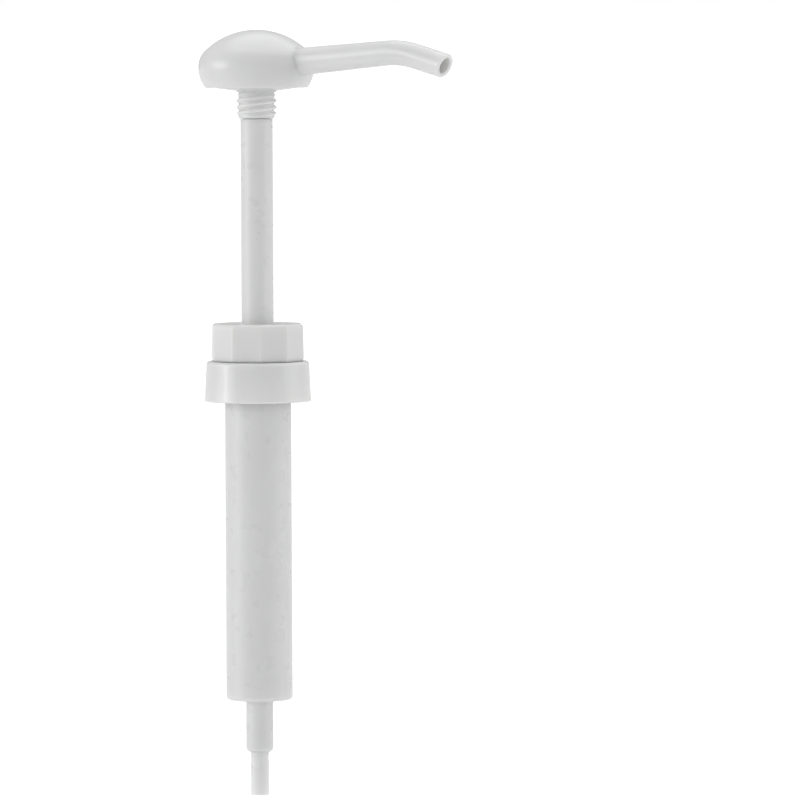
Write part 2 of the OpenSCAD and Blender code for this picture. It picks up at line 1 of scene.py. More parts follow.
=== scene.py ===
# Looks of the condiment hand pump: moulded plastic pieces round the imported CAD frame.
import json
import math

import bmesh
import bpy
import numpy as np
from mathutils import Matrix, Vector


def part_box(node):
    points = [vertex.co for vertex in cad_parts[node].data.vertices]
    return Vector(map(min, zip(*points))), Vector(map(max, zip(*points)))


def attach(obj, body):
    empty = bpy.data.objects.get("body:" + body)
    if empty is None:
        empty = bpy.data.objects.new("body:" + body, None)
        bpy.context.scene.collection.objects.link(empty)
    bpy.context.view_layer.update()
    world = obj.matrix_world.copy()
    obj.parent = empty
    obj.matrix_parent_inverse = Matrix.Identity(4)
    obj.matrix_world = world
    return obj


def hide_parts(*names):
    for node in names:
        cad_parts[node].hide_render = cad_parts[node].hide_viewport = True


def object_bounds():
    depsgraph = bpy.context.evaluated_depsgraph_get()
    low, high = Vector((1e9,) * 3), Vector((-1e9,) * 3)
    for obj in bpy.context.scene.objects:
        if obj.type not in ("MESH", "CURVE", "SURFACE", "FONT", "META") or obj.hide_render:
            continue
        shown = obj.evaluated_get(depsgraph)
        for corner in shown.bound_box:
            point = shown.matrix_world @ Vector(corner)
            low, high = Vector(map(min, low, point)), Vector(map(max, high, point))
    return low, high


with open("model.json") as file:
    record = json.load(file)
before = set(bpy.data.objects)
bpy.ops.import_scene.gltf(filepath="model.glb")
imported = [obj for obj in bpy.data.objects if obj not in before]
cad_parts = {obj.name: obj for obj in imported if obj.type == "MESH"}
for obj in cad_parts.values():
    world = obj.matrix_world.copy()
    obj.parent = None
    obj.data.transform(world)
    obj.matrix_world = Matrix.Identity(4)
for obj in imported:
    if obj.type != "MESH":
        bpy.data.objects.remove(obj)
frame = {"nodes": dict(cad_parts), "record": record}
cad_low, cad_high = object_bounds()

MM = 0.001          # shapes below are worked out in millimetres
SIDES = 160         # points round a turned piece
ARC_STEPS = 6       # steps of a rounded corner


def mm_box(node):
    """Lowest and highest corner of a CAD node, in millimetres."""
    low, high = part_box(node)
    return np.array(low) / MM, np.array(high) / MM


# ---------------------------------------------------------------- sizes from the frame

head_low, head_high = mm_box("actuator_head")
plate_low, plate_high = mm_box("head_base_plate")
collar_low, collar_high = mm_box("lock_collar")
cap_low, cap_high = mm_box("closure_cap")
gasket_high = mm_box("neck_gasket")[1]
barrel_low, barrel_high = mm_box("barrel")
cage_low = mm_box("inlet_cage")[0]
tube_low, tube_high = mm_box("dip_tube")
outlet = next(m for m in frame["record"]["mounts"] if m["name"] == "spout_outlet")


# ---------------------------------------------------------------- mesh tools

def make_object(name, points, faces):
    """A smooth-shaded mesh object from points in millimetres."""
    mesh = bpy.data.meshes.new(name)
    mesh.from_pydata((np.asarray(points) * MM).tolist(), [], [list(map(int, f)) for f in faces])
    shell = bmesh.new()
    shell.from_mesh(mesh)
    bmesh.ops.recalc_face_normals(shell, faces=shell.faces)
    shell.to_mesh(mesh)
    shell.free()
    mesh.polygons.foreach_set("use_smooth", [True] * len(mesh.polygons))
    mesh.validate()
    piece = bpy.data.objects.new(name, mesh)
    bpy.context.scene.collection.objects.link(piece)
    return piece


def weighted(piece):
    """Shading normals that follow the large faces, so that flats stay flat beside rounded edges."""
    piece.modifiers.new("normals", "WEIGHTED_NORMAL").keep_sharp = True
    return piece


def loft(name, rings):
    """A closed skin over rings of equal length, the last ring joined back to the first."""
    rings = np.array(rings)
    count, size = rings.shape[:2]
    faces = []
    for k in range(count):
        a, b = k * size, (k + 1) % count * size
        faces += [(a + i, a + (i + 1) % size, b + (i + 1) % size, b + i) for i in range(size)]
    return make_object(name, rings.reshape(-1, 3), faces)


def ring(radius, z, angles):
    """Points of a circle, or of a modulated circle when radius is an array."""
    radius = np.broadcast_to(radius, angles.shape)
    return np.stack([radius * np.cos(angles), radius * np.sin(angles), np.full(angles.shape, z)], axis=1)


def around(count=SIDES):
    return np.linspace(0, 2 * np.pi, count, endpoint=False)


def filleted(corners):
    """A closed outline (r, z) from corners (r, z, fillet radius), each fillet an arc."""
    outline = []
    total = len(corners)
    for k, (r, z, fillet) in enumerate(corners):
        here = np.array([r, z], float)
        back = np.array(corners[k - 1][:2], float) - here
        ahead = np.array(corners[(k + 1) % total][:2], float) - here
        back, ahead = back / np.linalg.norm(back), ahead / np.linalg.norm(ahead)
        half = math.acos(np.clip(back @ ahead, -1, 1)) / 2
        if fillet <= 0 or abs(half - math.pi / 2) < 1e-3:
            outline.append(here)
            continue
        middle = (back + ahead) / np.linalg.norm(back + ahead)
        centre = here + middle * fillet / math.sin(half)
        start = here + back * fillet / math.tan(half) - centre
        end = here + ahead * fillet / math.tan(half) - centre
        turn = math.atan2(start[0] * end[1] - start[1] * end[0], start @ end)
        for t in np.linspace(0, turn, ARC_STEPS + 1):
            c, s = math.cos(t), math.sin(t)
            outline.append(centre + np.array([c * start[0] - s * start[1], s * start[0] + c * start[1]]))
    return outline


def lathe(name, corners, sides=SIDES):
    """A turned piece from a closed outline that stays off the axis."""
    angles = around(sides)
    return weighted(loft(name, [ring(r, z, angles) for r, z in filleted(corners)]))


def smooth_step(x):
    x = np.clip(x, 0, 1)
    return x * x * (3 - 2 * x)


def thread(angles, z, low, high, lead, starts, base, tip, height):
    """Height of a helical ridge over its root at each angle, faded in and out at its ends."""
    pitch = lead / starts
    offset = (z - low - lead * angles / (2 * np.pi) + pitch / 2) % pitch - pitch / 2
    flank = smooth_step((base / 2 - np.abs(offset)) / ((base - tip) / 2))
    fade = smooth_step((z - low) / pitch + 0.5) * smooth_step((high - z) / pitch + 0.5)
    return height * flank * fade


# ---------------------------------------------------------------- head: dome and spout

DOME_RISE = 14.8
DOME_SKIRT = 8.2
DOME_EDGE_R = 9.2
DOME_SKIRT_R = 13.4
DOME_WALL = 2.2
dome_half_l = -head_low[0]
dome_half_w = head_high[1]
widest_z = head_high[2] - DOME_RISE
edge_x = dome_half_l - DOME_EDGE_R
crown_r = (edge_x ** 2 + DOME_RISE ** 2 - DOME_EDGE_R ** 2) / (2 * (DOME_RISE - DOME_EDGE_R))
crown_c = DOME_RISE - crown_r
crown_angle = math.atan2(edge_x, -crown_c)

SPOUT_RISE = math.radians(4.7)
SPOUT_UP = 0.4
SPOUT_ROOT_R = 5.65
SPOUT_R = 4.9
PASSAGE_START = -9      # along the spout, where the solid round the passage starts
BORE_START = -3         # along the spout, where the bore starts
SPOUT_BORE_R = outlet["dims"]["r_mm"]
SPOUT_START = 9.4
BEND_X = 69.5
BEND_R = 40
TIP_L = 21.5
TIP_CUT = math.radians(8)
tip_dir = np.array(outlet["axis"], float)
spout_fall = math.atan2(-tip_dir[2], tip_dir[0])
bend_turn = SPOUT_RISE + spout_fall
bend_back = BEND_R * math.tan(bend_turn / 2)
spout_z = widest_z + SPOUT_UP
bend_z = spout_z + BEND_X * math.tan(SPOUT_RISE)
straight_l = BEND_X / math.cos(SPOUT_RISE) - bend_back

HEAD_STEP = 0.45    # grid of the head's skin
ROOT_BLEND = 0.6    # fillet between the dome and the spout
EDGE_BLEND = 0.45   # rounding of the head's rim and of the spout's end


def round_max(a, b, r):
    """The larger of two distances, its ridge rounded by r."""
    h = np.clip(0.5 + (a - b) / (2 * r), 0, 1)
    return b + (a - b) * h + r * h * (1 - h)


def round_min(a, b, r):
    return -round_max(-a, -b, r)


def dome(p, inset):
    """Distance to the dome's skin moved in by inset, before its rim is cut."""
    squeeze = (dome_half_w - inset) / (dome_half_l - inset)
    r = np.hypot(p[..., 0], p[..., 1] / squeeze)
    z = p[..., 2] - widest_z
    lean = np.arctan2(r, z - crown_c)
    crown = np.hypot(r, z - crown_c) - crown_r
    edge = np.hypot(r - edge_x, z) - DOME_EDGE_R
    skirt = np.hypot(r - (dome_half_l - DOME_SKIRT_R), z) - DOME_SKIRT_R
    return np.where(lean < crown_angle, crown, np.where(z > 0, edge, skirt)) + inset


def spout(p, root_r, end_r):
    """Distance to the bent spout or its bore."""
    x, y, z = p[..., 0], p[..., 1], p[..., 2] - spout_z
    c, s = math.cos(SPOUT_RISE), math.sin(SPOUT_RISE)
    along, up = x * c + z * s, z * c - x * s
    cu, su = along - straight_l, up + BEND_R
    sweep = np.arctan2(cu, su)
    reach = np.hypot(cu, su)
    t, v = math.cos(bend_turn), math.sin(bend_turn)
    tip_along = cu * t - su * v
    tip_up = cu * v + su * t - BEND_R
    taper = np.clip((along - SPOUT_START) / (straight_l - SPOUT_START), 0, 1)
    start = np.hypot(up, y) - (root_r + (end_r - root_r) * taper)
    bend = np.hypot(reach - BEND_R, y) - end_r
    end = np.hypot(tip_up, y) - end_r
    body = np.where(sweep < 0, start, np.where(sweep < bend_turn, bend, end))
    return body, along, tip_along


def head_field(p):
    """Signed distance of the whole head above its shank, negative inside the plastic."""
    z = p[..., 2]
    rim = head_rim_z - z
    shell = round_max(dome(p, 0), rim, EDGE_BLEND)
    cavity = round_max(dome(p, DOME_WALL), head_rim_z - 1 - z, EDGE_BLEND)
    shell = round_max(shell, -cavity, EDGE_BLEND)
    boss = np.hypot(p[..., 0], p[..., 1]) - SHANK_ROOT_R
    boss = np.maximum(boss, np.maximum(head_rim_z - z, dome(p, DOME_WALL / 2)))
    outer, along, tip_along = spout(p, SPOUT_ROOT_R, SPOUT_R)
    outer = np.maximum(outer, SPOUT_START + 8 - along)
    passage = np.hypot(*spout_offsets(p)) - SPOUT_ROOT_R
    passage = np.maximum(passage, np.maximum(PASSAGE_START - along, dome(p, DOME_WALL / 2)))
    solid = round_min(shell, outer, ROOT_BLEND)
    solid = round_min(solid, np.minimum(boss, passage), EDGE_BLEND)
    lip = (tip_along - (TIP_L - bend_back)) * math.cos(TIP_CUT) + tip_height(p) * math.sin(-TIP_CUT)
    solid = round_max(solid, lip, EDGE_BLEND)
    bore, _, _ = spout(p, SPOUT_BORE_R, SPOUT_BORE_R)
    bore = np.maximum(bore, BORE_START - along)
    return round_max(solid, -bore, EDGE_BLEND)


def spout_offsets(p):
    """Offsets up and sideways from the straight part's centre line."""
    x, z = p[..., 0], p[..., 2] - spout_z
    return z * math.cos(SPOUT_RISE) - x * math.sin(SPOUT_RISE), p[..., 1]


def tip_height(p):
    """Height over the centre line of the falling tip."""
    x, z = p[..., 0] - BEND_X, p[..., 2] - bend_z
    return x * math.sin(spout_fall) + z * math.cos(spout_fall)


def surface_net(field, low, high, step):
    """A quad mesh on the zero level of field: a point in each crossed cell, a quad for each crossed edge."""
    axes = [np.arange(a, b + step, step) for a, b in zip(low, high)]
    grid = np.stack(np.meshgrid(*axes, indexing="ij"), axis=-1)
    inside = field(grid) < 0
    corners = [inside[i:i - 1 or None, j:j - 1 or None, k:k - 1 or None]
               for i in (0, 1) for j in (0, 1) for k in (0, 1)]
    filled = sum(c.astype(int) for c in corners)
    crossed = (filled > 0) & (filled < 8)
    index = np.full(crossed.shape, -1)
    index[crossed] = np.arange(crossed.sum())
    points = np.array(low) + step * (np.argwhere(crossed) + 0.5)
    faces = []
    for axis in range(3):
        u, v = [a for a in range(3) if a != axis]
        lower = [slice(1, -1)] * 3
        upper = [slice(1, -1)] * 3
        lower[axis], upper[axis] = slice(0, -1), slice(1, None)
        change = np.argwhere(inside[tuple(lower)] != inside[tuple(upper)])
        change[:, u] += 1
        change[:, v] += 1
        quad = []
        for du, dv in ((1, 1), (0, 1), (0, 0), (1, 0)):
            cell = change.copy()
            cell[:, u] -= du
            cell[:, v] -= dv
            quad.append(index[tuple(cell.T)])
        faces.append(np.stack(quad, axis=1))
    return points, np.concatenate(faces)


def settle(points, faces, field, rounds):
    """Evens out a surface net and puts its points exactly on the surface."""
    tiny = 0.01
    shifts = np.eye(3) * tiny
    pairs = np.concatenate([faces[:, [k, (k + 1) % 4]] for k in range(4)])
    pairs = np.concatenate([pairs, pairs[:, ::-1]])
    links = np.bincount(pairs[:, 0], minlength=len(points))[:, None]
    for lap in range(rounds):
        for _ in range(3):
            value = field(points)
            slope = np.stack([field(points + s) - field(points - s) for s in shifts], axis=1) / (2 * tiny)
            steep = np.maximum((slope ** 2).sum(axis=1), 0.05)
            points = points - slope * (np.clip(value, -0.5, 0.5) / steep)[:, None]
        if lap < rounds - 1:
            total = np.stack([np.bincount(pairs[:, 0], points[pairs[:, 1], a], len(points))
                              for a in range(3)], axis=1)
            points = points + 0.6 * (total / links - points)
    return points


# ---------------------------------------------------------------- shank thread and underside

SHANK_ROOT_R = 7.1
SHANK_CREST_R = 8.0
LOCK_LEAD = 5.1
LOCK_STARTS = 2
RIDGE_BASE = 1.9
RIDGE_TIP = 0.3
SPIGOT_R = 5.2
head_rim_z = head_high[2] - DOME_RISE - DOME_SKIRT
shank_z = head_low[2]
plate_foot_z = plate_low[2]


def make_head():
    low = (head_low[0] - 1, head_low[1] - 1, head_rim_z - 1)
    high = (head_high[0] + 1, head_high[1] + 1, head_high[2] + 1)
    points, faces = surface_net(head_field, low, high, HEAD_STEP)
    points = settle(points, faces, head_field, 4)
    piece = make_object("pump_head", points, faces)
    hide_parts("actuator_head")
    return piece


def make_shank():
    """Threaded shank under the dome, with its shoulder against the underside plate."""
    angles = around(192)
    inner = SPIGOT_R + 0.02
    rings = [ring(inner, shank_z, angles), ring(SHANK_ROOT_R - 0.35, shank_z, angles)]
    foot, top = shank_z + 1.35, plate_foot_z - 2.0
    for z in np.arange(shank_z + 0.35, plate_foot_z - 0.9, 0.17):
        height = thread(angles, z, foot, top, LOCK_LEAD, LOCK_STARTS, RIDGE_BASE, RIDGE_TIP,
                        SHANK_CREST_R - SHANK_ROOT_R)
        rings.append(ring(SHANK_ROOT_R + height, z, angles))
    for t in np.linspace(0, 1, 5):
        rings.append(ring(SHANK_ROOT_R + (SHANK_CREST_R - SHANK_ROOT_R) * smooth_step(t),
                          plate_foot_z - 0.75 + 0.35 * t, angles))
    top_z = plate_foot_z + 1.4
    rings += [ring(SHANK_CREST_R, top_z, angles), ring(inner, top_z, angles)]
    return weighted(loft("lock_shank", rings))


def make_underside():
    """Shallow cone that closes the head from below, oval at its rim and round at the shank."""
    angles = around()
    hole = SHANK_CREST_R + 0.12
    long_r = plate_high[0]
    wide_r = plate_high[1]
    thick = 1.6
    fall = head_rim_z - plate_foot_z
    rings = []
    for share, lift in [(0, thick), (0, 0.12), (0.02, 0)] + [(s, 0) for s in np.linspace(0.1, 0.9, 7)] + [
            (0.975, 0), (0.993, 0.06), (1, 0.2), (1, thick)]:
        rx = hole + (long_r - hole) * share
        ry = hole + (wide_r - hole) * share
        z = plate_foot_z + fall * share + lift
        rings.append(np.stack([rx * np.cos(angles), ry * np.sin(angles), np.full(angles.shape, z)], axis=1))
    piece = weighted(loft("head_underside", rings))
    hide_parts("head_base_plate")
    return piece


# ---------------------------------------------------------------- lock collar

FLATS = 10
FLAT_TURN = math.radians(-16)  # angle of the corner nearest to the spout
COLLAR_DRAFT = math.radians(1)
COLLAR_CORNER_R = 1.1
COLLAR_TOP_R = 1.3
COLLAR_FOOT_R = 0.3
SOCKET_R = 14.38
SOCKET_L = 5.2
LOCK_BORE_R = 8.3
LOCK_CREST_R = 7.4
BORE_CHAMFER = 0.8


def polygon_ring(apothem, corner_r, z, per_flat=6, per_corner=6):
    """A ring round a regular polygon with rounded corners."""
    step = 2 * np.pi / FLATS
    points = []
    for k in range(FLATS):
        corner = FLAT_TURN + k * step
        reach = (apothem - corner_r) / math.cos(step / 2)
        centre = reach * np.array([math.cos(corner), math.sin(corner)])
        for t in np.linspace(corner - step / 2, corner + step / 2, per_corner):
            points.append(centre + corner_r * np.array([math.cos(t), math.sin(t)]))
        start = points[-1]
        following = reach * np.array([math.cos(corner + step), math.sin(corner + step)])
        t = corner + step / 2
        end = following + corner_r * np.array([math.cos(t), math.sin(t)])
        points += [start + (end - start) * s for s in np.linspace(0, 1, per_flat + 2)[1:-1]]
    points = np.array(points)
    return np.column_stack([points, np.full(len(points), z)])


def make_collar():
    low, high = collar_low[2], collar_high[2]
    apothem = collar_high[0] / math.cos(FLAT_TURN) * math.cos(math.pi / FLATS)
    rings = []

    def level(z, inset):
        side = apothem - (z - low) * math.tan(COLLAR_DRAFT) - inset
        rings.append(polygon_ring(side, max(COLLAR_CORNER_R - inset * 0.4, 0.4), z))

    for t in np.linspace(0, math.pi / 2, 4):
        level(low + COLLAR_FOOT_R * (1 - math.sin(t)), COLLAR_FOOT_R * (1 - math.cos(math.pi / 2 - t)))
    rings.reverse()
    for z in np.linspace(low + 1, high - COLLAR_TOP_R - 0.4, 6):
        level(z, 0)
    for t in np.linspace(0, math.pi / 2, 8):
        level(high - COLLAR_TOP_R * (1 - math.sin(t)), COLLAR_TOP_R * (1 - math.cos(t)))
    edge = rings[-1]
    angles = np.arctan2(edge[:, 1], edge[:, 0])
    mouth = ring(LOCK_BORE_R + BORE_CHAMFER + 0.25, high, angles)
    for s in (0.15, 0.5, 0.85, 1):
        rings.append(edge + (mouth - edge) * s)
    rings.append(ring(LOCK_BORE_R + BORE_CHAMFER, high - 0.1, angles))
    rings.append(ring(LOCK_BORE_R + 0.05, high - BORE_CHAMFER, angles))
    bore_foot = low + SOCKET_L
    for z in np.arange(high - BORE_CHAMFER - 0.2, bore_foot + 0.2, -0.2):
        height = thread(angles, z, bore_foot + 1.6, high - 1.6, LOCK_LEAD, LOCK_STARTS, RIDGE_BASE,
                        RIDGE_TIP, LOCK_BORE_R - LOCK_CREST_R)
        rings.append(ring(LOCK_BORE_R - height, z, angles))
    rings += [ring(LOCK_BORE_R, bore_foot, angles), ring(SOCKET_R, bore_foot, angles),
              ring(SOCKET_R, low + 0.3, angles), ring(SOCKET_R + 0.3, low, angles)]
    rings.append(rings[0] + (rings[-1] - rings[0]) * 0.5)
    piece = weighted(loft("collar_nut", rings))
    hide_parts("lock_collar")
    return piece


# ---------------------------------------------------------------- closure, barrel and dip tube

CAP_TOP_R = 1.2
CAP_TAPER = 0.8
CAP_PANEL = 2.2
CAP_HOLE_R = 14.6
NECK_MAJOR_R = 19
NECK_RIDGE = 1.1
NECK_LEAD = 4.233
NECK_TURNS = 1.6


def make_closure():
    low, high = cap_low[2], cap_high[2]
    open_r = cap_high[0]
    top_r = open_r - CAP_TAPER
    corners = [(open_r, low, 0.35), (top_r, high, CAP_TOP_R), (CAP_HOLE_R, high, 0.3),
               (CAP_HOLE_R, high - CAP_PANEL, 0.2), (NECK_MAJOR_R, high - CAP_PANEL, 0.4)]
    angles = around(192)
    rings = [ring(r, z, angles) for r, z in filleted(corners + [(NECK_MAJOR_R, low, 0.3)])]
    inner = [k for k in range(len(rings)) if rings[k][0, 2] > low + 0.5]
    cut = inner[-1] + 1
    first = low + 2
    wall = [z for z in np.arange(high - CAP_PANEL - 0.8, low + 0.6, -0.25)]
    grooves = []
    for z in wall:
        height = thread(angles, z, first, first + NECK_LEAD * NECK_TURNS, NECK_LEAD, 1, 1.7, 0.5, NECK_RIDGE)
        grooves.append(ring(NECK_MAJOR_R - height, z, angles))
    piece = weighted(loft("closure_shell", rings[:cut] + grooves + rings[cut:]))
    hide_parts("closure_cap")
    return piece


BARREL_R = 13.2
BARREL_FOOT_R = 1.6
CHAMBER_R = 11
INLET_R = 5.4
INLET_EDGE = 1.2
INLET_FILLET = 1.6
TUBE_SOCKET_R = 3.57
TUBE_GRIP = 16.2
SEAT_LOW_R = 2.8
SEAT_TOP_R = 6
SEAT_H = 3.2
GASKET_SEAT_R = 13.7
FLANGE_R = 16.7
COLLAR_SPIGOT_R = 14.3
VENT_R = 0.9
VENT_Z = -12


def make_barrel():
    foot = barrel_low[2]
    top = barrel_high[2]
    floor = cage_low[2] - 0.1
    bottom = floor - 4.4
    flange_low, flange_high = gasket_high[2], gasket_high[2] + 2
    corners = [
        (INLET_R - INLET_EDGE, foot, 0.3), (INLET_R, foot + INLET_EDGE, 0.5),
        (INLET_R, bottom, INLET_FILLET), (BARREL_R, bottom, BARREL_FOOT_R),
        (BARREL_R, -0.6, 0.1), (GASKET_SEAT_R, -0.6, 0.1), (GASKET_SEAT_R, flange_low, 0.1),
        (FLANGE_R, flange_low, 0.2), (FLANGE_R, flange_high, 0.2), (COLLAR_SPIGOT_R, flange_high, 0.2),
        (COLLAR_SPIGOT_R, top, 0.3), (CHAMBER_R, top, 0.3), (CHAMBER_R, floor, 0.3),
        (SEAT_TOP_R, floor, 0.1), (SEAT_LOW_R, floor - SEAT_H, 0.1),
        (SEAT_LOW_R, foot + TUBE_GRIP, 0.1), (TUBE_SOCKET_R, foot + TUBE_GRIP, 0.1),
        (TUBE_SOCKET_R, foot, 0.1)]
    piece = lathe("barrel_shell", corners, 128)
    drill = lathe("vent_drill", [(0.01, -2, 0), (VENT_R, -2, 0), (VENT_R, 2, 0), (0.01, 2, 0)], 32)
    drill.matrix_world = (Matrix.Translation((0, (CHAMBER_R + BARREL_R) / 2 * MM, VENT_Z * MM))
                          @ Matrix.Rotation(math.radians(-90), 4, "X"))
    carve(piece, drill)
    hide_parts("barrel")
    return piece


def carve(piece, tool):
    """Cuts tool out of piece for good, and removes the tool."""
    modifier = piece.modifiers.new("cut", "BOOLEAN")
    modifier.operation = "DIFFERENCE"
    modifier.solver = "EXACT"
    modifier.object = tool
    bpy.context.view_layer.update()
    result = bpy.data.meshes.new_from_object(piece.evaluated_get(bpy.context.evaluated_depsgraph_get()))
    piece.modifiers.clear()
    piece.data = result
    piece.data.polygons.foreach_set("use_smooth", [True] * len(piece.data.polygons))
    bpy.data.objects.remove(tool)
    weighted(piece)


def make_dip_tube():
    low, high = tube_low[2], tube_high[2]
    outer = tube_high[0]
    inner = outer - 1.05
    piece = lathe("suction_tube", [(outer, low, 0.15), (outer, high, 0.15), (inner, high, 0.15),
                                   (inner, low, 0.15)], 96)
    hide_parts("dip_tube")
    return piece


# ---------------------------------------------------------------- materials

def new_nodes(name):
    material = bpy.data.materials.new(name)
    material.use_nodes = True
    tree = material.node_tree
    return material, tree, tree.nodes["Principled BSDF"]


def noise(tree, coordinates, scale, detail, stretch=(1, 1, 1)):
    """A noise texture in the object's own metres, squeezed along an axis by stretch."""
    mapping = tree.nodes.new("ShaderNodeMapping")
    mapping.inputs["Scale"].default_value = stretch
    texture = tree.nodes.new("ShaderNodeTexNoise")
    texture.inputs["Scale"].default_value = scale
    texture.inputs["Detail"].default_value = detail
    tree.links.new(coordinates, mapping.inputs["Vector"])
    tree.links.new(mapping.outputs["Vector"], texture.inputs["Vector"])
    return texture.outputs["Fac"]


def spread(tree, value, low, high):
    """Maps a noise value to the range from low to high."""
    node = tree.nodes.new("ShaderNodeMapRange")
    node.inputs["From Min"].default_value = 0.3
    node.inputs["From Max"].default_value = 0.7
    node.inputs["To Min"].default_value = low
    node.inputs["To Max"].default_value = high
    tree.links.new(value, node.inputs["Value"])
    return node.outputs["Result"]


def plastic(name, pale, deep, roughness, glow=0.0, depth=0.004, bump=0.12, streak=(1, 1, 0.08), grain=900.0):
    """Moulded plastic: cloudy colour, uneven gloss, flow lines along the draw and a fine skin."""
    material, tree, shader = new_nodes(name)
    coordinates = tree.nodes.new("ShaderNodeTexCoord").outputs["Object"]
    mix = tree.nodes.new("ShaderNodeMix")
    mix.data_type = "RGBA"
    mix.inputs[6].default_value = (*pale, 1)
    mix.inputs[7].default_value = (*deep, 1)
    tree.links.new(spread(tree, noise(tree, coordinates, 55, 3), 0, 1), mix.inputs[0])
    tree.links.new(mix.outputs[2], shader.inputs["Base Color"])
    gloss = spread(tree, noise(tree, coordinates, 160, 4), roughness - 0.015, roughness + 0.025)
    tree.links.new(gloss, shader.inputs["Roughness"])
    flow = noise(tree, coordinates, 220, 2, streak)
    skin = noise(tree, coordinates, grain, 3)
    low_bump = tree.nodes.new("ShaderNodeBump")
    low_bump.inputs["Strength"].default_value = bump
    low_bump.inputs["Distance"].default_value = 0.00012
    tree.links.new(flow, low_bump.inputs["Height"])
    fine_bump = tree.nodes.new("ShaderNodeBump")
    fine_bump.inputs["Strength"].default_value = bump
    fine_bump.inputs["Distance"].default_value = 0.00004
    tree.links.new(skin, fine_bump.inputs["Height"])
    tree.links.new(low_bump.outputs["Normal"], fine_bump.inputs["Normal"])
    tree.links.new(fine_bump.outputs["Normal"], shader.inputs["Normal"])
    shader.inputs["Specular IOR Level"].default_value = 0.45
    shader.inputs["IOR"].default_value = 1.5
    if glow:
        shader.inputs["Subsurface Weight"].default_value = glow
        shader.inputs["Subsurface Radius"].default_value = (1.0, 0.95, 0.9)
        shader.inputs["Subsurface Scale"].default_value = depth
    return material


def steel(name):
    """Drawn stainless wire and polished balls, with fine drawing marks."""
    material, tree, shader = new_nodes(name)
    coordinates = tree.nodes.new("ShaderNodeTexCoord").outputs["Object"]
    shader.inputs["Metallic"].default_value = 1
    mix = tree.nodes.new("ShaderNodeMix")
    mix.data_type = "RGBA"
    mix.inputs[6].default_value = (0.62, 0.62, 0.61, 1)
    mix.inputs[7].default_value = (0.5, 0.5, 0.5, 1)
    tree.links.new(spread(tree, noise(tree, coordinates, 400, 3), 0, 1), mix.inputs[0])
    tree.links.new(mix.outputs[2], shader.inputs["Base Color"])
    tree.links.new(spread(tree, noise(tree, coordinates, 900, 2), 0.18, 0.34), shader.inputs["Roughness"])
    bump = tree.nodes.new("ShaderNodeBump")
    bump.inputs["Strength"].default_value = 0.15
    bump.inputs["Distance"].default_value = 0.00005
    tree.links.new(noise(tree, coordinates, 2500, 2), bump.inputs["Height"])
    tree.links.new(bump.outputs["Normal"], shader.inputs["Normal"])
    return material


materials = {
    "white_pp": plastic("white_pp", (0.765, 0.765, 0.765), (0.755, 0.755, 0.754), 0.24, glow=0.7),
    "natural_hdpe": plastic("natural_hdpe", (0.75, 0.75, 0.75), (0.735, 0.735, 0.734), 0.28, glow=0.7),
    "tube_pe": plastic("tube_pe", (0.82, 0.82, 0.82), (0.805, 0.805, 0.803), 0.26, glow=0.8, depth=0.002,
                       streak=(1, 1, 0.03)),
    "seal_soft": plastic("seal_soft", (0.5, 0.51, 0.52), (0.42, 0.43, 0.44), 0.55, bump=0.2),
    "gasket_foam": plastic("gasket_foam", (0.74, 0.74, 0.72), (0.6, 0.6, 0.58), 0.75, bump=0.5,
                           streak=(1, 1, 1), grain=1600.0),
    "stainless": steel("stainless"),
}


def dress(piece, slot, body):
    """Gives a made piece its material, and hangs it on its body."""
    piece.data.materials.clear()
    piece.data.materials.append(materials[slot])
    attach(piece, body)


# ---------------------------------------------------------------- the pieces

dress(make_head(), "white_pp", "plunger")
dress(make_shank(), "white_pp", "plunger")
dress(make_underside(), "white_pp", "plunger")
dress(make_collar(), "white_pp", "housing")
dress(make_closure(), "white_pp", "closure")
dress(make_barrel(), "natural_hdpe", "housing")
dress(make_dip_tube(), "tube_pe", "housing")

CAD_FINISH = {
    "white_pp": ["passage_plug"],
    "natural_hdpe": ["stem", "stem_guide", "piston_hub", "spring_seat", "outlet_seat", "outlet_stop",
                     "inlet_cage"],
    "seal_soft": ["stem_wiper", "piston_seal"],
    "gasket_foam": ["neck_gasket"],
    "stainless": ["return_spring", "outlet_ball", "inlet_ball"],
}
for slot_name, node_names in CAD_FINISH.items():
    for node_name in node_names:
        for material_slot in frame["nodes"][node_name].material_slots:
            material_slot.material = materials[slot_name]


# ---------------------------------------------------------------- floor, light and camera

CAMERA_TURN = math.radians(35)      # round the pump from straight across the spout
CAMERA_DISTANCE = 3.0
CAMERA_HEIGHT = 0.1498
AIM_TURN = math.radians(1.082)
AIM_DOWN = math.radians(3.05)
ROLL = math.radians(-0.25)
FIELD_OF_VIEW = math.radians(6.084)
FLOOR_GAP = 0.12
FLOOR_REACH = 600.0
ROOM_LIGHT = 0.45
BACKLIGHT = 0.3
LAMP_DISTANCE = 2.0

scene = bpy.context.scene
across = Vector((math.cos(CAMERA_TURN), math.sin(CAMERA_TURN), 0))
towards = Vector((math.sin(CAMERA_TURN), -math.cos(CAMERA_TURN), 0))
upward = Vector((0, 0, 1))


def make_floor():
    """Wide level floor that runs to the horizon."""
    z = (cad_low.z - FLOOR_GAP) / MM
    reach = FLOOR_REACH / MM
    sides = [-reach, -0.1 * reach, -0.01 * reach, 0.01 * reach, 0.1 * reach, reach]
    points = [(x, y, z) for y in sides for x in sides]
    count = len(sides)
    faces = [(k, k + 1, k + 1 + count, k + count)
             for j in range(count - 1) for k in range(j * count, j * count + count - 1)]
    floor = make_object("floor", points, faces)
    floor.data.materials.append(pale_floor())


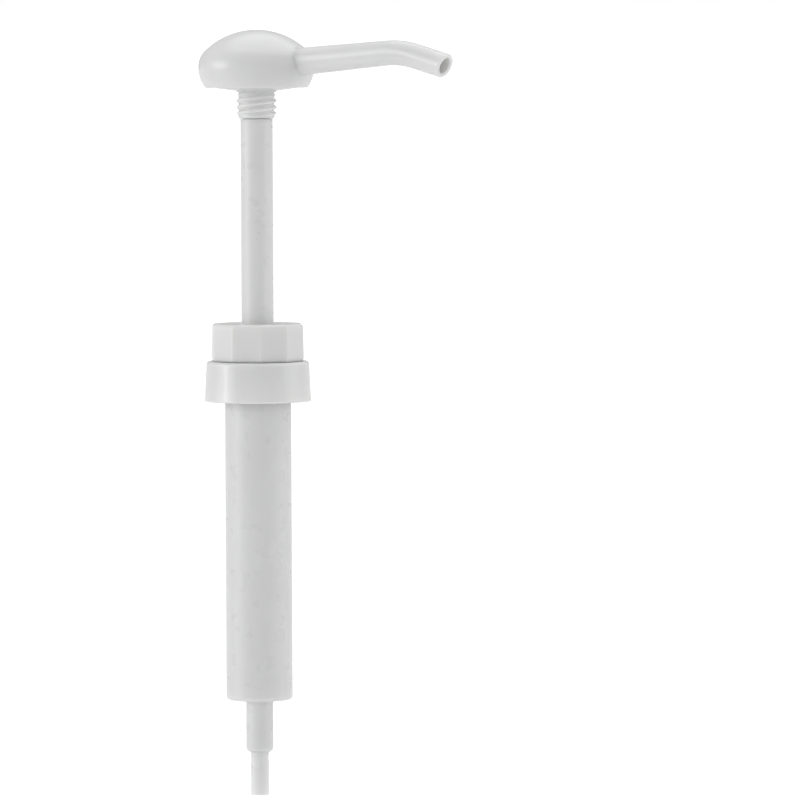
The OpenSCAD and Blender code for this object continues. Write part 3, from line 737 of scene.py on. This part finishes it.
def pale_floor():
    """Matt pale paper, with a little backlight that only the camera sees, so that it meets the white."""
    material, tree, shader = new_nodes("pale_floor")
    coordinates = tree.nodes.new("ShaderNodeTexCoord").outputs["Object"]
    mix = tree.nodes.new("ShaderNodeMix")
    mix.data_type = "RGBA"
    mix.inputs[6].default_value = (0.88, 0.88, 0.88, 1)
    mix.inputs[7].default_value = (0.86, 0.86, 0.86, 1)
    tree.links.new(noise(tree, coordinates, 3, 2), mix.inputs[0])
    tree.links.new(mix.outputs[2], shader.inputs["Base Color"])
    shader.inputs["Roughness"].default_value = 0.9
    shader.inputs["Specular IOR Level"].default_value = 0.1
    shader.inputs["Emission Color"].default_value = (BACKLIGHT, BACKLIGHT, BACKLIGHT, 1)
    tree.links.new(tree.nodes.new("ShaderNodeLightPath").outputs["Is Camera Ray"],
                   shader.inputs["Emission Strength"])
    return material


def soft_disc(name, azimuth, elevation, width, energy):
    """A broad, far light. Angles in degrees, azimuth counted from the camera's side to its right."""
    turn, lift = math.radians(azimuth), math.radians(elevation)
    light = bpy.data.lights.new(name, "SUN")
    light.angle = math.radians(width)
    light.energy = energy
    lamp = bpy.data.objects.new(name, light)
    source = (towards * math.cos(turn) + across * math.sin(turn)) * math.cos(lift) + upward * math.sin(lift)
    lamp.location = source * LAMP_DISTANCE
    lamp.rotation_mode = "QUATERNION"
    lamp.rotation_quaternion = source.to_track_quat("Z", "Y")
    scene.collection.objects.link(lamp)


def make_world():
    """A dim, even room, which the camera sees as white."""
    world = bpy.data.worlds.new("studio")
    world.use_nodes = True
    tree = world.node_tree
    room = tree.nodes["Background"]
    room.inputs["Color"].default_value = (1, 1, 1, 1)
    room.inputs["Strength"].default_value = ROOM_LIGHT
    seen = tree.nodes.new("ShaderNodeBackground")
    seen.inputs["Color"].default_value = (1, 1, 1, 1)
    choose = tree.nodes.new("ShaderNodeMixShader")
    tree.links.new(tree.nodes.new("ShaderNodeLightPath").outputs["Is Camera Ray"], choose.inputs["Fac"])
    tree.links.new(room.outputs["Background"], choose.inputs[1])
    tree.links.new(seen.outputs["Background"], choose.inputs[2])
    tree.links.new(choose.outputs["Shader"], tree.nodes["World Output"].inputs["Surface"])
    scene.world = world


def make_lights():
    soft_disc("top_light", 150, 70, 70, 1.35)
    soft_disc("left_light", -78, 6, 44, 1.2)
    soft_disc("left_glint", -76, 2, 10, 0.2)
    soft_disc("right_light", 80, 6, 44, 0.7)
    soft_disc("front_fill", 15, 0, 70, 0.28)
    make_world()


def make_camera():
    data = bpy.data.cameras.new("camera")
    data.sensor_width = 36
    data.lens = data.sensor_width / 2 / math.tan(FIELD_OF_VIEW / 2)
    data.clip_end = 2000
    camera = bpy.data.objects.new("camera", data)
    forward = -towards * math.cos(AIM_TURN) + across * math.sin(AIM_TURN)
    forward = forward * math.cos(AIM_DOWN) - upward * math.sin(AIM_DOWN)
    side = forward.cross(upward).normalized()
    above = side.cross(forward)
    side, above = (side * math.cos(ROLL) + above * math.sin(ROLL),
                   above * math.cos(ROLL) - side * math.sin(ROLL))
    camera.matrix_world = (Matrix.Translation(towards * CAMERA_DISTANCE + upward * CAMERA_HEIGHT)
                           @ Matrix((side, above, -forward)).transposed().to_4x4())
    scene.collection.objects.link(camera)
    scene.camera = camera


make_floor()
make_lights()
make_camera()
scene.view_settings.view_transform = "Standard"
